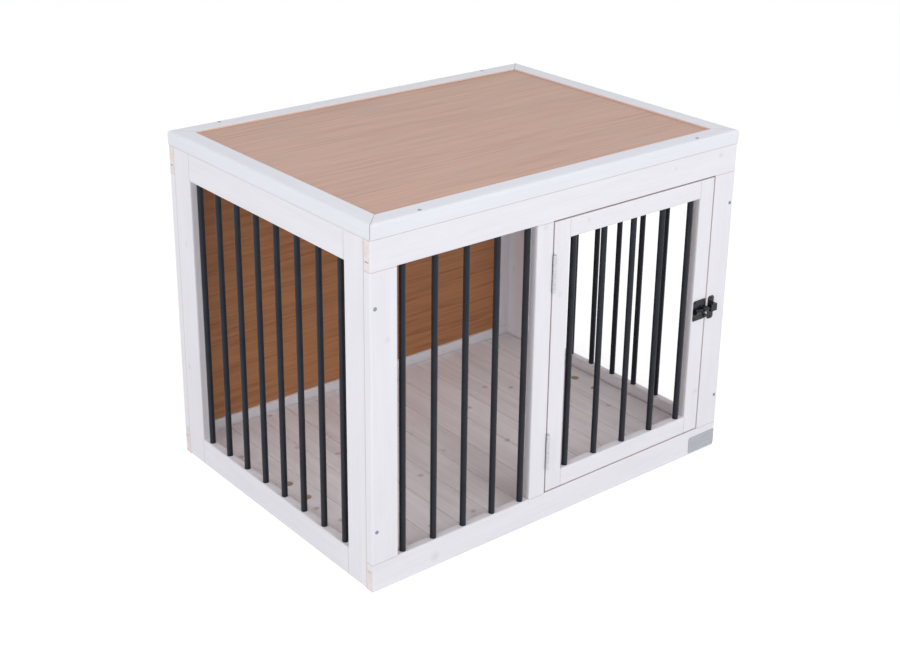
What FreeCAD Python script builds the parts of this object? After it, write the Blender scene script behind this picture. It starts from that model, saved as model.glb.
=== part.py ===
"""Dog crate end table: a slatted wooden crate with a hinged, bolted door and a framed table top.

Units are millimetres, +X runs to the right along the front, +Y to the back and +Z up.
The origin is on the ground, in the middle of the overall width and depth, knob included.
Each frame is routed as one blank, so that its rounded edges run on past the joints, and is then
parted into its rails and stiles. Rails run through on the front and back frames, and stiles run
through on the side frames and the door. What stands between has tenons in open mortises.
"""
import FreeCAD, Part
import math
import os

import Sketcher

SIZES = [
    # crate body
    ("body_width", 900, "outside width of the crate body"),
    ("body_depth", 668, "outside depth of the crate body"),
    ("body_height", 675, "height of the crate body under the table top"),
    ("body_setback", 9, "middle of the body behind the origin, as the bolt's knob stands out in front"),
    ("board_thick", 19, "thickness of the rails and stiles of all four frames"),
    ("rail_height", 57, "height of the rails of the four frames"),
    ("stile_width", 57, "width of the outer stiles of the four frames"),
    ("middle_stile_width", 40, "width of the stile between the front bars and the door"),
    ("left_bay_width", 314, "clear width of the barred bay left of the door"),
    ("edge_round", 3, "routed round on the edges of frames and door"),
    ("seam_round", 0.8, "eased edge where two frames meet at a corner"),
    # stub joints of rails and stiles
    ("tenon_thick", 11, "thickness of the stub tenons"),
    ("tenon_length", 16, "length of the stub tenons"),
    ("mortise_depth", 18, "depth of the mortises, a little more than the tenons"),
    ("joint_line", 0.3, "hairline left between a shoulder and the member it meets"),
    # round bars
    ("bar_diameter", 12, "diameter of the round steel bars"),
    ("front_bar_count", 5, "bars left of the door"),
    ("front_bar_margin", 16.4, "from a front stile to the nearest bar's axis"),
    ("side_bar_count", 8, "bars in each side"),
    ("side_bar_margin", 22, "from a side stile to the nearest bar's axis"),
    ("door_bar_count", 5, "bars in the door"),
    ("door_bar_margin", 18, "from a door stile to the nearest bar's axis"),
    # door
    ("door_gap", 2, "gap round the door"),
    ("door_thick", 19, "thickness of the door frame"),
    ("door_stile_width", 39, "width of the door's stiles"),
    ("door_rail_height", 38, "height of the door's rails"),
    # hinges
    ("hinge_length", 76, "length of a butt hinge"),
    ("upper_hinge_inset", 100, "middle of the upper hinge below the top edge of the door"),
    ("lower_hinge_inset", 89, "middle of the lower hinge above the bottom edge of the door"),
    ("knuckle_count", 4, "knuckles of a hinge, shared by its two leaves in turn"),
    ("knuckle_radius", 3.2, "outer radius of the knuckles"),
    ("knuckle_gap", 0.4, "gap between knuckles, and between a knuckle and the other leaf"),
    ("hinge_pin_radius", 1.6, "radius of the hinge pins"),
    ("hinge_pin_play", 0.1, "bore of a knuckle over its pin, on the radius"),
    ("hinge_axis_offset", 3.1, "hinge axis in front of the door's face"),
    ("leaf_thick", 0.9, "thickness of a hinge leaf"),
    ("leaf_depth", 16, "how far a leaf reaches in behind the front face"),
    # barrel bolt on the door
    ("latch_height", 336, "axis of the barrel bolt above the floor"),
    ("plate_width", 35, "width of the bolt's plate"),
    ("plate_height", 44, "height of the bolt's plate"),
    ("plate_thick", 1.5, "thickness of the plates of bolt and keeper"),
    ("plate_corner", 3, "corner radius of the bolt's plate"),
    ("bolt_radius", 4, "radius of the sliding bolt"),
    ("bolt_length", 53.5, "length of the sliding bolt"),
    ("bolt_play", 0.4, "gap round the bolt in its guides"),
    ("strap_wall", 1.3, "wall of the guides and of the keeper's loop"),
    ("inner_guide_width", 6, "width of the guide next to the bars"),
    ("outer_guide_width", 12, "width of the guide next to the keeper"),
    ("knob_stem_radius", 2.5, "radius of the knob's stem"),
    ("knob_radius", 4.5, "radius of the ball knob"),
    ("knob_reach", 11.5, "from the bolt's axis to the middle of the ball"),
    ("knob_rest_gap", 0.3, "gap between the stem and the outer guide when the bolt is thrown"),
    # keeper on the frame
    ("keeper_offset", 4, "keeper's near edge from the edge of the right stile"),
    ("keeper_width", 17, "width of the keeper"),
    ("keeper_height", 50, "height of the keeper"),
    ("keeper_drop", 2.5, "middle of the keeper's plate below the bolt's axis"),
    ("keeper_corner", 5.5, "corner radius of the keeper's rounded ends"),
    ("keeper_loop_height", 15, "outer height of the keeper's loop"),
    # table top
    ("top_thick", 28, "thickness of the table top's frame"),
    ("top_rail_width", 38, "width of the table top's rails"),
    ("top_overhang", 0.5, "how far the table top stands out past the body"),
    ("top_round", 5, "round on the top's outer upper edge"),
    ("top_ease", 1.2, "eased inner and lower edges of the top's rails"),
    ("mitre_line", 0.3, "hairline in the mitres"),
    ("top_panel_thick", 9, "thickness of the veneered top panel"),
    ("top_panel_recess", 4, "panel's face below the rails' face"),
    ("top_groove_depth", 8, "depth of the groove that holds the top panel"),
    # back panel
    ("back_panel_thick", 6, "thickness of the back panel"),
    ("back_groove_depth", 7, "depth of the groove that holds the back panel"),
    ("panel_edge_gap", 1, "gap between a panel's edge and the bottom of its groove"),
    ("panel_face_gap", 0.2, "play of a panel's faces in its groove, in all"),
    # floor
    ("floor_height", 35, "upper face of the floor above the ground"),
    ("floor_thick", 12, "thickness of the floor boards"),
    ("floor_gap", 3, "gap between the floor and the frames round it"),
    ("floor_board_count", 12, "boards in the floor"),
    ("tongue_thick", 3.6, "thickness of a board's tongue"),
    ("tongue_reach", 4, "how far a tongue stands out"),
    ("tongue_play", 0.4, "groove over tongue, in height and in depth"),
    ("board_bevel", 1, "bevel on the boards' upper edges"),
    ("finger_hole_radius", 9, "radius of the finger holes"),
    ("finger_hole_inset", 61, "finger holes from the outside of the crate"),
    ("finger_hole_spacing", 65, "between the two finger holes of a pair"),
    ("batten_width", 40, "width of the battens that join the floor boards"),
    ("batten_thick", 12, "thickness of the battens"),
    ("batten_spacing", 340, "between the middles of the two battens"),
    ("batten_inset", 12, "batten's end from the floor's edge"),
    ("cleat_size", 18, "section of the cleats under the floor's ends"),
]

doc = FreeCAD.newDocument("DogCrateEndTable")
sheet = doc.addObject("Spreadsheet::Sheet", "Sizes")
for row, (alias, size, note) in enumerate(SIZES, 1):
    sheet.set("A%d" % row, note)
    sheet.set("B%d" % row, str(size))
    sheet.setAlias("B%d" % row, alias)
doc.recompute()

nodes = []


# ---------------------------------------------------------------- helpers

def size_of(alias):
    """The cell of that name, as an expression can use it."""
    return "Sizes." + alias


def value(expression):
    """The number that an expression gives now."""
    return float(sheet.evalExpression(str(expression)))


def less(first, *others):
    """first minus each of the others, as an expression."""
    return "(" + " - ".join([str(first)] + ["(%s)" % other for other in others]) + ")"


def plus(*terms):
    """The sum of the terms, as an expression."""
    return "(" + " + ".join("(%s)" % term for term in terms) + ")"


def times(factor, term):
    """factor times the term, as an expression."""
    return "(%s * (%s))" % (factor, term)


def place(thing, x=None, y=None, z=None):
    """Bind the place of an object to expressions."""
    for axis, expression in (("x", x), ("y", y), ("z", z)):
        if expression is not None:
            thing.setExpression("Placement.Base." + axis, str(expression))


def box(name, x_span, y_span, z_span):
    """A block between two expressions along each axis."""
    block = doc.addObject("Part::Box", name)
    for prop, span in (("Length", x_span), ("Width", y_span), ("Height", z_span)):
        block.setExpression(prop, less(span[1], span[0]))
    place(block, x_span[0], y_span[0], z_span[0])
    return block


TURN_TO = {
    "X": FreeCAD.Rotation(FreeCAD.Vector(0, 1, 0), 90),
    "Z": FreeCAD.Rotation(),
}


def cylinder(name, direction, start, radius, length):
    """A round rod from its start point along a direction."""
    rod = doc.addObject("Part::Cylinder", name)
    rod.Placement.Rotation = TURN_TO[direction]
    rod.setExpression("Radius", str(radius))
    rod.setExpression("Height", str(length))
    place(rod, *start)
    return rod


def fuse(name, shapes):
    """Several shapes joined into one solid."""
    joined = doc.addObject("Part::MultiFuse", name)
    joined.Shapes = shapes
    joined.Refine = True
    return joined


def cut(name, base, tools):
    """A shape with each of the tools taken out of it."""
    tool = tools[0]
    if len(tools) > 1:
        tool = doc.addObject("Part::Compound", name + "_tools")
        tool.Links = tools
    result = doc.addObject("Part::Cut", name)
    result.Base = base
    result.Tool = tool
    result.Refine = True
    return result


def common(name, base, tool):
    """What two shapes share."""
    result = doc.addObject("Part::Common", name)
    result.Base = base
    result.Tool = tool
    return result


def group(name, shapes):
    """Separate solids kept together as one sub-part."""
    held = doc.addObject("Part::Compound", name)
    held.Links = shapes
    return held


def keep(shape, label):
    """Name a finished sub-part."""
    shape.Label = label
    nodes.append(shape)
    return shape


def new_body(name):
    """An empty body."""
    return doc.addObject("PartDesign::Body", name)


def plane_sketch(body, role, name):
    """A sketch on one of the body's own origin planes."""
    sketch = body.newObject("Sketcher::SketchObject", name)
    plane = [item for item in body.Origin.OriginFeatures if item.Role == role][0]
    sketch.AttachmentSupport = [(plane, "")]
    sketch.MapMode = "FlatFace"
    return sketch


def polygon(sketch, points):
    """A closed outline whose corners are bound to pairs of expressions."""
    corners = [FreeCAD.Vector(value(u), value(v), 0) for u, v in points]
    first = sketch.GeometryCount
    count = len(points)
    for index in range(count):
        sketch.addGeometry(Part.LineSegment(corners[index], corners[(index + 1) % count]))
    for index in range(count):
        following = first + (index + 1) % count
        sketch.addConstraint(Sketcher.Constraint("Coincident", first + index, 2, following, 1))
    for index, (u, v) in enumerate(points):
        for kind, expression, number in (("DistanceX", u, corners[index].x),
                                         ("DistanceY", v, corners[index].y)):
            rule = Sketcher.Constraint(kind, -1, 1, first + index, 1, number)
            place_in_list = sketch.addConstraint(rule)
            sketch.setExpression("Constraints[%d]" % place_in_list, str(expression))


def rectangle(sketch, u_span, v_span):
    """A rectangle between two expressions each way."""
    polygon(sketch, [(u_span[0], v_span[0]), (u_span[1], v_span[0]),
                     (u_span[1], v_span[1]), (u_span[0], v_span[1])])


def pad(body, sketch, length, midplane=False, reverse=False):
    """Raise a sketch into a solid."""
    raised = body.newObject("PartDesign::Pad", body.Name + "Pad")
    raised.Profile = sketch
    raised.setExpression("Length", str(length))
    raised.Midplane = midplane
    raised.Reversed = reverse
    doc.recompute()
    return raised


def pocket_through(body, sketch):
    """Cut a sketch right through the body, both ways."""
    sunk = body.newObject("PartDesign::Pocket", body.Name + "Pocket")
    sunk.Profile = sketch
    sunk.Type = 1
    sunk.Midplane = True
    doc.recompute()
    return sunk


def edges_where(shape, wanted):
    """Names of the straight edges whose middle and direction pass a test."""
    names = []
    for index, edge in enumerate(shape.Edges, 1):
        if edge.Curve.TypeId != "Part::GeomLine":
            continue
        first, last = edge.Vertexes[0].Point, edge.Vertexes[-1].Point
        if wanted((first + last) * 0.5, (last - first).normalize()):
            names.append("Edge%d" % index)
    return names


def round_edges(body, base, wanted, radius):
    """Round the edges of the body's last feature that pass a test."""
    rounded = body.newObject("PartDesign::Fillet", body.Name + "Fillet")
    rounded.Base = (base, edges_where(base.Shape, wanted))
    rounded.setExpression("Radius", radius)
    doc.recompute()
    return rounded


def near(first, second):
    """Whether two lengths agree to a thousandth."""
    return abs(first - second) < 1e-3


# ---------------------------------------------------------------- shared places

WIDTH = size_of("body_width")
DEPTH = size_of("body_depth")
HEIGHT = size_of("body_height")
THICK = size_of("board_thick")
RAIL = size_of("rail_height")
STILE = size_of("stile_width")
LINE = size_of("joint_line")
LEFT = times(-0.5, WIDTH)
RIGHT = times(0.5, WIDTH)
MIDDLE = size_of("body_setback")
FRONT = plus(MIDDLE, times(-0.5, DEPTH))
BACK = plus(MIDDLE, times(0.5, DEPTH))
INNER_LEFT = plus(LEFT, THICK)
INNER_RIGHT = less(RIGHT, THICK)
INNER_FRONT = plus(FRONT, THICK)
INNER_BACK = less(BACK, THICK)
RAILS_FROM = RAIL
RAILS_TO = less(HEIGHT, RAIL)
TENON_FROM = times(0.5, less(THICK, size_of("tenon_thick")))
TENON_TO = plus(TENON_FROM, size_of("tenon_thick"))


class FramePlane:
    """One upright side of the crate, with u along it, v up and w in from its outer face."""

    def __init__(self, side):
        self.side = side
        self.along_x = side in ("front", "back")
        self.near_side = side in ("front", "left")
        edge = {"front": FRONT, "back": BACK, "left": LEFT, "right": RIGHT}[side]
        self.edge = edge

    def depth_span(self, w_span):
        """Where a span of depths lies on the axis across the frame."""
        if self.near_side:
            return plus(self.edge, w_span[0]), plus(self.edge, w_span[1])
        return less(self.edge, w_span[1]), less(self.edge, w_span[0])

    def block(self, name, u_span, v_span, w_span):
        """A block in this frame's own directions."""
        across = self.depth_span(w_span)
        if self.along_x:
            return box(name, u_span, across, v_span)
        return box(name, across, u_span, v_span)

    def middle(self, u, w):
        """The x and y of a point at u along the frame and w in from its face."""
        across = self.depth_span((w, w))[0]
        return (u, across) if self.along_x else (across, u)


def routed_blank(plane, name, outline, openings, thick, seam_sides, whole_rim=False):
    """A frame before it is parted: outline and openings as spans, edges routed.

    With seam_sides the outer upright edges butt against other frames and stay square. Otherwise
    they are routed on the face, and eased behind, where the side frames meet them. whole_rim
    routes the rim all round on both faces.
    """
    body = new_body(name)
    sketch = plane_sketch(body, "XZ_Plane" if plane.along_x else "YZ_Plane", name + "Outline")
    rectangle(sketch, *outline)
    for opening in openings:
        rectangle(sketch, *opening)
    solid = pad(body, sketch, thick)
    u_low, u_high = (value(limit) for limit in outline[0])
    v_low, v_high = (value(limit) for limit in outline[1])
    depth = value(thick)
    # the pad of a front or back frame grows towards -Y, that of a side frame towards +X
    if plane.along_x:
        place(body, y=plus(plane.edge, thick) if plane.near_side else plane.edge)
        outer = -depth if plane.near_side else 0.0
    else:
        place(body, x=plane.edge if plane.near_side else less(plane.edge, thick))
        outer = 0.0 if plane.near_side else depth

    def parts_of(middle, way):
        """u, v and w of an edge's middle, and how it runs."""
        if plane.along_x:
            return middle.x, middle.z, middle.y, abs(way.y) > 0.5
        return middle.y, middle.z, middle.x, abs(way.x) > 0.5

    def on_rim(u, v):
        return near(u, u_low) or near(u, u_high) or near(v, v_low) or near(v, v_high)

    def routed(middle, way):
        u, v, w, across = parts_of(middle, way)
        if not on_rim(u, v):
            return not across
        at_seam = (near(u, u_low) or near(u, u_high)) and not across
        if whole_rim:
            return not across
        return near(w, outer) and not across and not near(v, v_high) and not (at_seam and seam_sides)

    def eased(middle, way):
        u, v, w, across = parts_of(middle, way)
        return (near(u, u_low) or near(u, u_high)) and not across and not near(w, outer)

    if not whole_rim and not seam_sides:
        solid = round_edges(body, solid, eased, size_of("seam_round"))
    round_edges(body, solid, routed, size_of("edge_round"))
    return body


def bar_positions(span, margin, count):
    """Expressions for the axes of evenly spread bars between two members."""
    first = plus(span[0], margin)
    step = "(%s / %d)" % (less(span[1], span[0], margin, margin), count - 1)
    return [plus(first, times(index, step)) for index in range(count)]


def upright_bars(plane, label, span, margin, count, v_span, thick):
    """The bars of one opening, standing between its rails on the middle of the frame."""
    radius = times(0.5, size_of("bar_diameter"))
    bars = []
    for index, u in enumerate(bar_positions(span, margin, count), 1):
        x, y = plane.middle(u, times(0.5, thick))
        bars.append(cylinder("%s%d" % (label.title().replace("_", ""), index), "Z",
                             (x, y, v_span[0]), radius, less(v_span[1], v_span[0])))
    keep(group(label + "_group", bars), label)


def member(plane, label, blank, u_span, v_span, tenons=(), cuts=()):
    """Part one rail or stile from its blank, add its tenons and cut its mortises and seats."""
    region = plane.block(label + "_region", u_span, v_span, (times(-1, THICK), times(2, THICK)))
    piece = common(label + "_stock", blank, region)
    if tenons:
        blocks = [plane.block("%s_tenon%d" % (label, index), u, v, (TENON_FROM, TENON_TO))
                  for index, (u, v) in enumerate(tenons, 1)]
        piece = fuse(label + "_tenoned", [piece] + blocks)
    if cuts:
        piece = cut(label + "_cut", piece, list(cuts))
    return keep(piece, label)


def mortise(plane, name, u_span, v_span):
    """The pocket for one tenon."""
    return plane.block(name, u_span, v_span, (TENON_FROM, TENON_TO))


# ---------------------------------------------------------------- front frame

FULL_WIDTH = (LEFT, RIGHT)
BETWEEN_RAILS = (RAILS_FROM, RAILS_TO)
LEFT_STILE = (LEFT, plus(LEFT, STILE))
RIGHT_STILE = (less(RIGHT, STILE), RIGHT)
LEFT_BAY = (LEFT_STILE[1], plus(LEFT_STILE[1], size_of("left_bay_width")))
MIDDLE_STILE = (LEFT_BAY[1], plus(LEFT_BAY[1], size_of("middle_stile_width")))
DOORWAY = (MIDDLE_STILE[1], RIGHT_STILE[0])
LOWER_RAIL = ("0", RAIL)
UPPER_RAIL = (RAILS_TO, HEIGHT)
SHOULDERS = (plus(RAILS_FROM, LINE), less(RAILS_TO, LINE))
TENON = size_of("tenon_length")
MORTISE = size_of("mortise_depth")
LOWER_TENON = (less(RAILS_FROM, TENON), SHOULDERS[0])
UPPER_TENON = (SHOULDERS[1], plus(RAILS_TO, TENON))
LOWER_MORTISE = (less(RAILS_FROM, MORTISE), RAILS_FROM)
UPPER_MORTISE = (RAILS_TO, plus(RAILS_TO, MORTISE))


def rails_through(plane, prefix, blank, stiles, grooves=()):
    """A frame whose rails run its full width, with tenoned stiles between them."""
    mortises = {"lower": [], "upper": []}
    for stile_name, u_span in stiles:
        for level, v_span in (("lower", LOWER_MORTISE), ("upper", UPPER_MORTISE)):
            tool = mortise(plane, "%s_%s_%s_mortise" % (prefix, stile_name, level), u_span, v_span)
            mortises[level].append(tool)
    member(plane, prefix + "_top_rail", blank, FULL_WIDTH, UPPER_RAIL,
           cuts=mortises["upper"] + list(grooves))
    member(plane, prefix + "_bottom_rail", blank, FULL_WIDTH, LOWER_RAIL,
           cuts=mortises["lower"] + list(grooves))
    for stile_name, u_span in stiles:
        member(plane, "%s_%s_stile" % (prefix, stile_name), blank, u_span, SHOULDERS,
               tenons=[(u_span, LOWER_TENON), (u_span, UPPER_TENON)], cuts=grooves)


def stiles_through(plane, prefix, names, blank, outline, stile_width, rail_height):
    """A frame whose stiles run its full height, with tenoned rails between them."""
    (u_low, u_high), (v_low, v_high) = outline
    inner = (plus(u_low, stile_width), less(u_high, stile_width))
    shoulders = (plus(inner[0], LINE), less(inner[1], LINE))
    levels = {"bottom": (v_low, plus(v_low, rail_height)),
              "top": (less(v_high, rail_height), v_high)}
    first_mortise = (less(inner[0], MORTISE), inner[0])
    last_mortise = (inner[1], plus(inner[1], MORTISE))
    for which, u_span, pocket in ((0, (u_low, inner[0]), first_mortise),
                                  (1, (inner[1], u_high), last_mortise)):
        pockets = [mortise(plane, "%s_%s_%s_mortise" % (prefix, names[which], level), pocket, v_span)
                   for level, v_span in levels.items()]
        member(plane, "%s_%s_stile" % (prefix, names[which]), blank, u_span, (v_low, v_high),
               cuts=pockets)
    for level, v_span in levels.items():
        member(plane, "%s_%s_rail" % (prefix, level), blank, shoulders, v_span,
               tenons=[((less(inner[0], TENON), shoulders[0]), v_span),
                       ((shoulders[1], plus(inner[1], TENON)), v_span)])


front = FramePlane("front")
front_blank = routed_blank(front, "FrontBlank", (FULL_WIDTH, ("0", HEIGHT)),
                           [(LEFT_BAY, BETWEEN_RAILS), (DOORWAY, BETWEEN_RAILS)], THICK, False)
rails_through(front, "front", front_blank,
              [("left", LEFT_STILE), ("middle", MIDDLE_STILE), ("right", RIGHT_STILE)])
upright_bars(front, "front_bars", LEFT_BAY, size_of("front_bar_margin"),
             int(value(size_of("front_bar_count"))), BETWEEN_RAILS, THICK)

# ---------------------------------------------------------------- back frame and panel

BACK_OPENING = (LEFT_STILE[1], RIGHT_STILE[0])
back = FramePlane("back")
back_blank = routed_blank(back, "BackBlank", (FULL_WIDTH, ("0", HEIGHT)),
                          [(BACK_OPENING, BETWEEN_RAILS)], THICK, False)
GROOVE = size_of("back_groove_depth")
EDGE_GAP = size_of("panel_edge_gap")
FACE_GAP = times(0.5, size_of("panel_face_gap"))
PANEL_FROM = times(0.5, less(THICK, size_of("back_panel_thick")))
PANEL_TO = plus(PANEL_FROM, size_of("back_panel_thick"))
back_groove = back.block(
    "BackGroove", (less(BACK_OPENING[0], GROOVE), plus(BACK_OPENING[1], GROOVE)),
    (less(RAILS_FROM, GROOVE), plus(RAILS_TO, GROOVE)),
    (less(PANEL_FROM, FACE_GAP), plus(PANEL_TO, FACE_GAP)))
rails_through(back, "back", back_blank, [("left", LEFT_STILE), ("right", RIGHT_STILE)],
              grooves=[back_groove])

back_panel = new_body("BackPanel")
back_outline = plane_sketch(back_panel, "XZ_Plane", "BackPanelOutline")
PANEL_REACH = less(GROOVE, EDGE_GAP)
rectangle(back_outline, (less(BACK_OPENING[0], PANEL_REACH), plus(BACK_OPENING[1], PANEL_REACH)),
          (less(RAILS_FROM, PANEL_REACH), plus(RAILS_TO, PANEL_REACH)))
pad(back_panel, back_outline, size_of("back_panel_thick"))
place(back_panel, y=less(BACK, PANEL_FROM))
keep(back_panel, "back_panel")

# ---------------------------------------------------------------- side frames

SIDE_RUN = (INNER_FRONT, INNER_BACK)
SIDE_OPENING = (plus(INNER_FRONT, STILE), less(INNER_BACK, STILE))
for side in ("left", "right"):
    plane = FramePlane(side)
    blank = routed_blank(plane, side.capitalize() + "Blank", (SIDE_RUN, ("0", HEIGHT)),
                         [(SIDE_OPENING, BETWEEN_RAILS)], THICK, True)
    stiles_through(plane, side, ("front", "back"), blank, (SIDE_RUN, ("0", HEIGHT)), STILE, RAIL)
    upright_bars(plane, side + "_bars", SIDE_OPENING, size_of("side_bar_margin"),
                 int(value(size_of("side_bar_count"))), BETWEEN_RAILS, THICK)

# ---------------------------------------------------------------- door

DOOR_GAP = size_of("door_gap")
DOOR_THICK = size_of("door_thick")
DOOR_RUN = (plus(DOORWAY[0], DOOR_GAP), less(DOORWAY[1], DOOR_GAP))
DOOR_RISE = (plus(RAILS_FROM, DOOR_GAP), less(RAILS_TO, DOOR_GAP))
DOOR_STILE = size_of("door_stile_width")
DOOR_RAIL = size_of("door_rail_height")
DOOR_OPENING = ((plus(DOOR_RUN[0], DOOR_STILE), less(DOOR_RUN[1], DOOR_STILE)),
                (plus(DOOR_RISE[0], DOOR_RAIL), less(DOOR_RISE[1], DOOR_RAIL)))
door_blank = routed_blank(front, "DoorBlank", (DOOR_RUN, DOOR_RISE), [DOOR_OPENING], DOOR_THICK,
                          False, whole_rim=True)
stiles_through(front, "door", ("hinge", "latch"), door_blank, (DOOR_RUN, DOOR_RISE), DOOR_STILE,
               DOOR_RAIL)
upright_bars(front, "door_bars", DOOR_OPENING[0], size_of("door_bar_margin"),
             int(value(size_of("door_bar_count"))), DOOR_OPENING[1], DOOR_THICK)

# ---------------------------------------------------------------- hinges

KNUCKLE = size_of("knuckle_radius")
KNUCKLE_GAP = size_of("knuckle_gap")
LEAF = size_of("leaf_thick")
HINGE_X = plus(DOORWAY[0], times(0.5, DOOR_GAP))
HINGE_Y = less(FRONT, size_of("hinge_axis_offset"))
LEAF_BACK = plus(FRONT, size_of("leaf_depth"))
knuckle_count = int(value(size_of("knuckle_count")))


def hinge(which, middle_height):
    """One butt hinge: two leaves on the faces of the gap, knuckles in turn, and the pin."""
    length = size_of("hinge_length")
    base = less(middle_height, times(0.5, length))
    step = "(%s / %d)" % (length, knuckle_count)
    zones = []
    for index in range(knuckle_count):
        low = plus(base, times(index, step))
        zones.append((plus(low, times(0.5, KNUCKLE_GAP)), less(plus(low, step), times(0.5, KNUCKLE_GAP))))
    # counted from the top, the frame's leaf has the first, third and so on
    owners = ["frame" if (knuckle_count - 1 - index) % 2 == 0 else "door"
              for index in range(knuckle_count)]
    leaf_x = {"frame": (DOORWAY[0], plus(DOORWAY[0], LEAF)),
              "door": (less(DOOR_RUN[0], LEAF), DOOR_RUN[0])}
    for owner in ("frame", "door"):
        name = which + "_hinge_" + owner + "_leaf"
        leaf = box(name + "_plate", leaf_x[owner], (HINGE_Y, LEAF_BACK), (base, plus(base, length)))
        clear = []
        barrels = []
        for index, zone in enumerate(zones):
            height = less(zone[1], zone[0])
            if owners[index] == owner:
                barrels.append(cylinder("%s_knuckle%d" % (name, index), "Z",
                                        (HINGE_X, HINGE_Y, zone[0]), KNUCKLE, height))
            else:
                clear.append(cylinder("%s_clear%d" % (name, index), "Z",
                                      (HINGE_X, HINGE_Y, less(zone[0], KNUCKLE_GAP)),
                                      plus(KNUCKLE, KNUCKLE_GAP), plus(height, times(2, KNUCKLE_GAP))))
        bore = cylinder(name + "_bore", "Z", (HINGE_X, HINGE_Y, less(base, KNUCKLE)),
                        plus(size_of("hinge_pin_radius"), size_of("hinge_pin_play")),
                        plus(length, times(2, KNUCKLE)))
        notched = cut(name + "_notched", leaf, clear)
        keep(cut(name + "_bored", fuse(name + "_rolled", [notched] + barrels), [bore]), name)
    return cylinder(which + "_hinge_pin", "Z", (HINGE_X, HINGE_Y, base),
                    size_of("hinge_pin_radius"), length)


hinge_pins = [hinge("upper", less(DOOR_RISE[1], size_of("upper_hinge_inset"))),
              hinge("lower", plus(DOOR_RISE[0], size_of("lower_hinge_inset")))]
keep(group("HingePins", hinge_pins), "hinge_pins")

# ---------------------------------------------------------------- barrel bolt and keeper

BOLT = size_of("bolt_radius")
BOLT_PLAY = size_of("bolt_play")
WALL = size_of("strap_wall")
PLATE = size_of("plate_thick")
BOLT_Z = size_of("latch_height")
PLATE_FACE = less(FRONT, PLATE)
BOLT_Y = less(PLATE_FACE, BOLT_PLAY, BOLT)
LATCH_X = less(DOOR_RUN[1], times(0.5, DOOR_STILE))
PLATE_RUN = (less(LATCH_X, times(0.5, size_of("plate_width"))),
             plus(LATCH_X, times(0.5, size_of("plate_width"))))
GUIDE_BORE = plus(BOLT, BOLT_PLAY)
GUIDE_OUT = plus(GUIDE_BORE, WALL)


def flat_plate(name, x_span, middle_height, height, corner):
    """An upright plate on the front face, with rounded corners."""
    plate = new_body(name)
    outline = plane_sketch(plate, "XZ_Plane", name + "Outline")
    rectangle(outline, x_span, (less(middle_height, times(0.5, height)),
                                plus(middle_height, times(0.5, height))))
    raised = pad(plate, outline, PLATE)
    place(plate, y=FRONT)
    round_edges(plate, raised, lambda middle, way: abs(way.y) > 0.5, corner)
    return plate


def pressed_guide(name, x_span):
    """A round-backed strap that holds the bolt down on its plate."""
    length = less(x_span[1], x_span[0])
    crown = cylinder(name + "Crown", "X", (x_span[0], BOLT_Y, BOLT_Z), GUIDE_OUT, length)
    legs = box(name + "Legs", x_span, (BOLT_Y, PLATE_FACE),
               (less(BOLT_Z, GUIDE_OUT), plus(BOLT_Z, GUIDE_OUT)))
    hollow = cylinder(name + "Hollow", "X", (less(x_span[0], WALL), BOLT_Y, BOLT_Z), GUIDE_BORE,
                      plus(length, times(2, WALL)))
    gap = box(name + "Gap", (less(x_span[0], WALL), plus(x_span[1], WALL)), (BOLT_Y, PLATE_FACE),
              (less(BOLT_Z, GUIDE_BORE), plus(BOLT_Z, GUIDE_BORE)))
    over = cut(name + "Over", fuse(name + "Solid", [crown, legs]), [fuse(name + "Room", [hollow, gap])])
    behind = box(name + "Behind", x_span, (PLATE_FACE, plus(FRONT, GUIDE_OUT)),
                 (less(BOLT_Z, GUIDE_OUT), plus(BOLT_Z, GUIDE_OUT)))
    return cut(name, over, [behind])


INNER_GUIDE = (PLATE_RUN[0], plus(PLATE_RUN[0], size_of("inner_guide_width")))
OUTER_GUIDE = (less(PLATE_RUN[1], size_of("outer_guide_width")), PLATE_RUN[1])
bolt_plate = flat_plate("BoltPlate", PLATE_RUN, BOLT_Z, size_of("plate_height"),
                        size_of("plate_corner"))
keep(fuse("BoltPlateAndGuides", [bolt_plate, pressed_guide("InnerGuide", INNER_GUIDE),
                                 pressed_guide("OuterGuide", OUTER_GUIDE)]), "bolt_plate")

STEM_X = less(OUTER_GUIDE[0], size_of("knob_rest_gap"), size_of("knob_stem_radius"))
rod = new_body("BoltRod")
rod_profile = plane_sketch(rod, "XZ_Plane", "BoltRodProfile")
ROD_BEVEL = times(0.3, BOLT)
ROD_LENGTH = size_of("bolt_length")
polygon(rod_profile, [("0", "0"), (ROD_LENGTH, "0"), (ROD_LENGTH, less(BOLT, ROD_BEVEL)),
                      (less(ROD_LENGTH, ROD_BEVEL), BOLT), ("0", BOLT)])
rod_turn = rod.newObject("PartDesign::Revolution", "BoltRodTurn")
rod_turn.Profile = rod_profile
rod_turn.ReferenceAxis = (rod_profile, ["H_Axis"])
rod_turn.Angle = 360
place(rod, PLATE_RUN[0], BOLT_Y, BOLT_Z)
# the knob points down and out, half way between the two
KNOB_WAY = FreeCAD.Rotation(FreeCAD.Vector(1, 0, 0), 135)
SLANT = math.cos(math.radians(45))
stem = doc.addObject("Part::Cylinder", "KnobStem")
stem.Placement.Rotation = KNOB_WAY
stem.setExpression("Radius", size_of("knob_stem_radius"))
stem.setExpression("Height", size_of("knob_reach"))
place(stem, STEM_X, BOLT_Y, BOLT_Z)
ball = doc.addObject("Part::Sphere", "KnobBall")
ball.Placement.Rotation = KNOB_WAY
ball.setExpression("Radius", size_of("knob_radius"))
place(ball, STEM_X, less(BOLT_Y, times(SLANT, size_of("knob_reach"))),
      less(BOLT_Z, times(SLANT, size_of("knob_reach"))))
keep(fuse("BoltAndKnob", [rod, stem, ball]), "sliding_bolt")

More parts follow.
